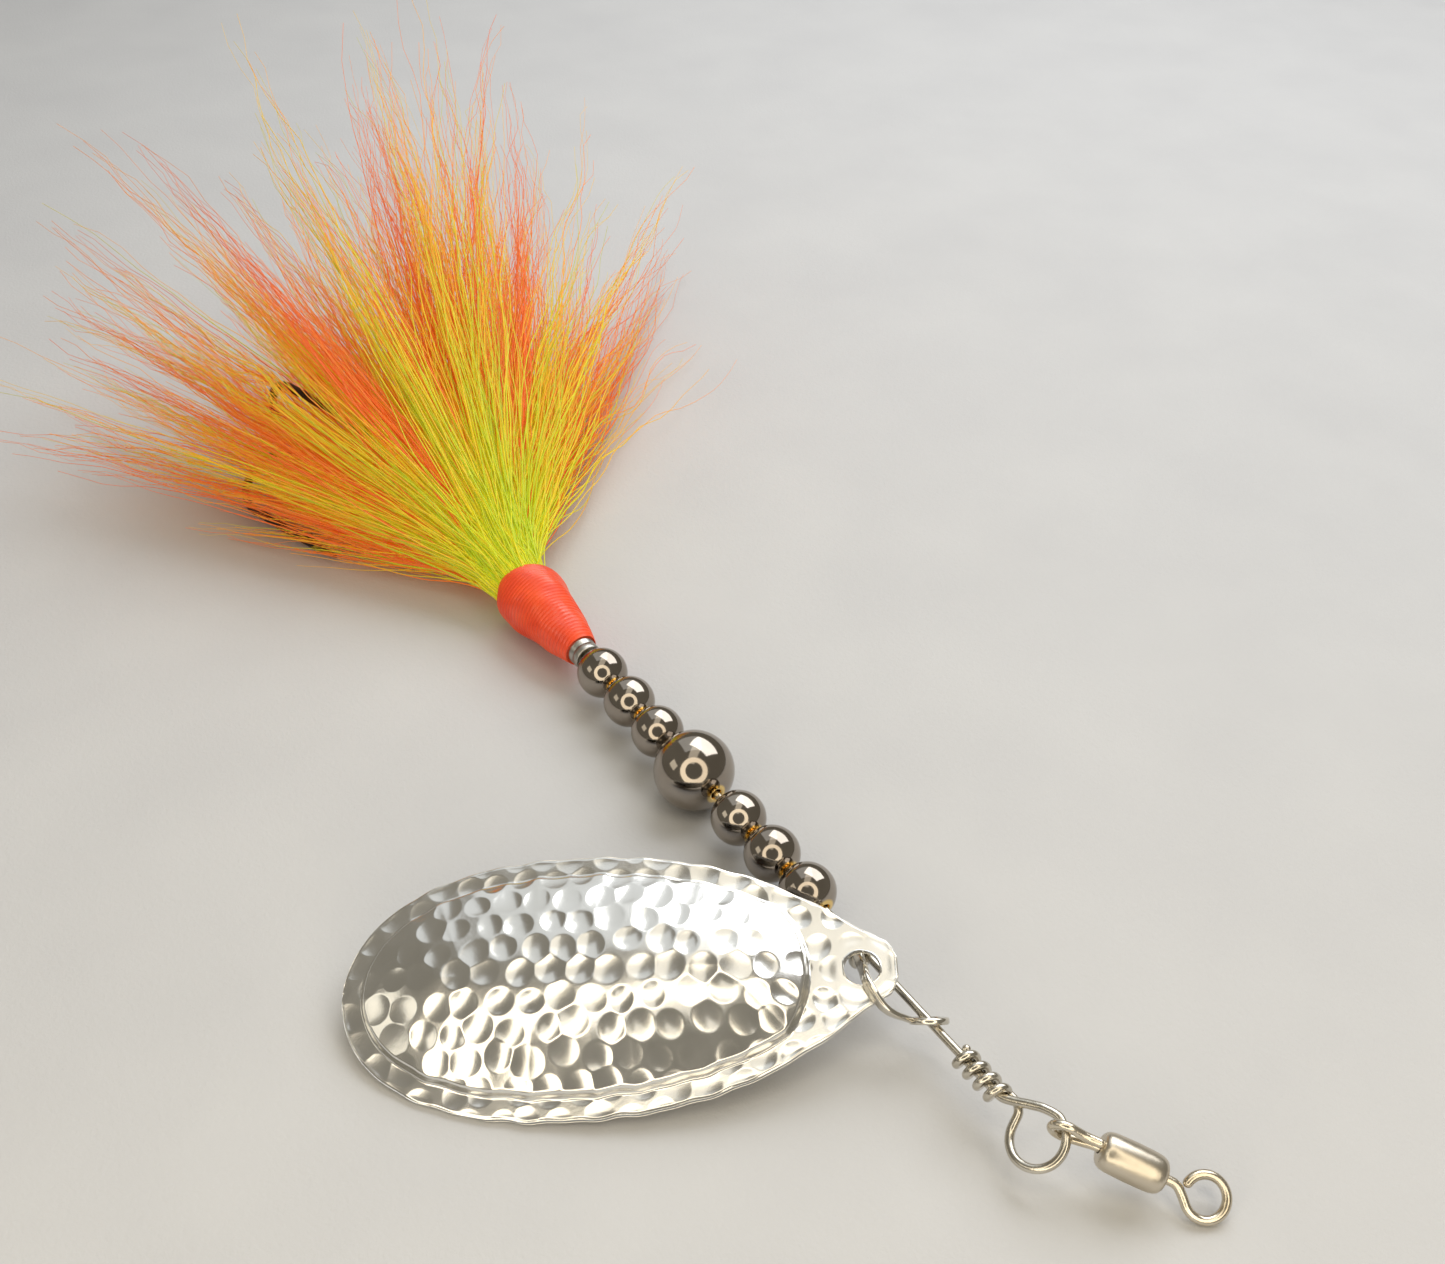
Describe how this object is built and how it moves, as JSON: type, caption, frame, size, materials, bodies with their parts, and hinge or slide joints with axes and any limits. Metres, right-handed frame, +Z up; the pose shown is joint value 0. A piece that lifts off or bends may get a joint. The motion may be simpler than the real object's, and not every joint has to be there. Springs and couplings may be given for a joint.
{
  "type": "inline spinner",
  "caption": "Inline spinner fishing lure: hammered blade on a clevis, beads on a wire shaft, swivel at the line end and a hair-dressed tail round a treble hook.",
  "frame": {"origin": "centre of the swivel's line eye, where the line or leader is tied", "axes": "+X along the wire shaft from the hair tail to the line end, +Z up from the surface that the lure lies on, +Y to the left looking along +X"},
  "size_m": [0.1581, 0.0885, 0.047],
  "materials": {
    "stainless_wire": "bright drawn wire",
    "plated_strip": "bright nickel plate",
    "hammered_blade": "hammered bright nickel plate",
    "plated_tube": "satin nickel plate",
    "orange_thread": "fluorescent thread, part varnished",
    "chartreuse_hair": "dyed deer hair",
    "orange_hair": "dyed deer hair",
    "swivel_brass": "worn nickel plate",
    "swivel_wire": "bright wire",
    "hook_steel": "bronzed steel",
    "bead_plating": "polished black nickel"
  },
  "bodies": {
    "shaft": {"shaft_wire": "stainless_wire", "tail_tube": "plated_tube", "thread_wrap": "orange_thread", "chartreuse_hair": "chartreuse_hair", "orange_hair": "orange_hair"},
    "lure_eye": {"swivel_lure_eye": "swivel_wire"},
    "barrel": {"swivel_barrel": "swivel_brass"},
    "line_eye": {"swivel_line_eye": "swivel_wire"},
    "clevis": {"clevis": "plated_strip"},
    "blade": {"blade": "hammered_blade"},
    "treble": {"treble_double_hook": "hook_steel", "treble_single_hook": "hook_steel"},
    "front_bead_1": {"front_bead_1": "bead_plating"},
    "front_bead_2": {"front_bead_2": "bead_plating"},
    "front_bead_3": {"front_bead_3": "bead_plating"},
    "big_bead": {"big_bead": "bead_plating"},
    "rear_bead_1": {"rear_bead_1": "bead_plating"},
    "rear_bead_2": {"rear_bead_2": "bead_plating"},
    "rear_bead_3": {"rear_bead_3": "bead_plating"}
  },
  "joints": [
    {"name": "swivel_hang", "type": "hinge", "parent": "shaft", "child": "lure_eye", "pos_m": [-0.0078, -0.00607, 0.0031], "axis": [-0.829, 0.4663, 0.3086], "range_deg": [-55, 55]},
    {"name": "barrel_spin", "type": "hinge", "parent": "lure_eye", "child": "barrel", "pos_m": [-0.0078, -0.00607, 0.0031], "axis": [0.753, 0.5862, -0.299], "continuous": true},
    {"name": "line_eye_spin", "type": "hinge", "parent": "barrel", "child": "line_eye", "pos_m": [0, 0, 0], "axis": [0.753, 0.5862, -0.299], "continuous": true},
    {"name": "clevis_spin", "type": "hinge", "parent": "shaft", "child": "clevis", "pos_m": [-0.02046, -0.00743, 0.0022], "axis": [1, 0, 0], "continuous": true},
    {"name": "blade_swing", "type": "hinge", "parent": "clevis", "child": "blade", "pos_m": [-0.02584, -0.0096, 0.00398], "axis": [0.1922, -0.2315, 0.9537], "range_deg": [-52, 15]},
    {"name": "treble_swing", "type": "hinge", "parent": "shaft", "child": "treble", "pos_m": [-0.08774, -0.00743, 0.0022], "axis": [0, 0, 1], "range_deg": [-6, 6]},
    {"name": "front_bead_1_spin", "type": "hinge", "parent": "shaft", "child": "front_bead_1", "pos_m": [-0.04521, -0.00743, 0.0022], "axis": [1, 0, 0], "continuous": true},
    {"name": "front_bead_2_spin", "type": "hinge", "parent": "shaft", "child": "front_bead_2", "pos_m": [-0.04035, -0.00743, 0.0022], "axis": [1, 0, 0], "continuous": true},
    {"name": "front_bead_3_spin", "type": "hinge", "parent": "shaft", "child": "front_bead_3", "pos_m": [-0.03549, -0.00743, 0.0022], "axis": [1, 0, 0], "continuous": true},
    {"name": "big_bead_spin", "type": "hinge", "parent": "shaft", "child": "big_bead", "pos_m": [-0.05206, -0.00743, 0.0022], "axis": [1, 0, 0], "continuous": true},
    {"name": "rear_bead_1_spin", "type": "hinge", "parent": "shaft", "child": "rear_bead_1", "pos_m": [-0.05806, -0.00743, 0.0022], "axis": [1, 0, 0], "continuous": true},
    {"name": "rear_bead_2_spin", "type": "hinge", "parent": "shaft", "child": "rear_bead_2", "pos_m": [-0.06292, -0.00743, 0.0022], "axis": [1, 0, 0], "continuous": true},
    {"name": "rear_bead_3_spin", "type": "hinge", "parent": "shaft", "child": "rear_bead_3", "pos_m": [-0.06778, -0.00743, 0.0022], "axis": [1, 0, 0], "continuous": true}
  ]
}
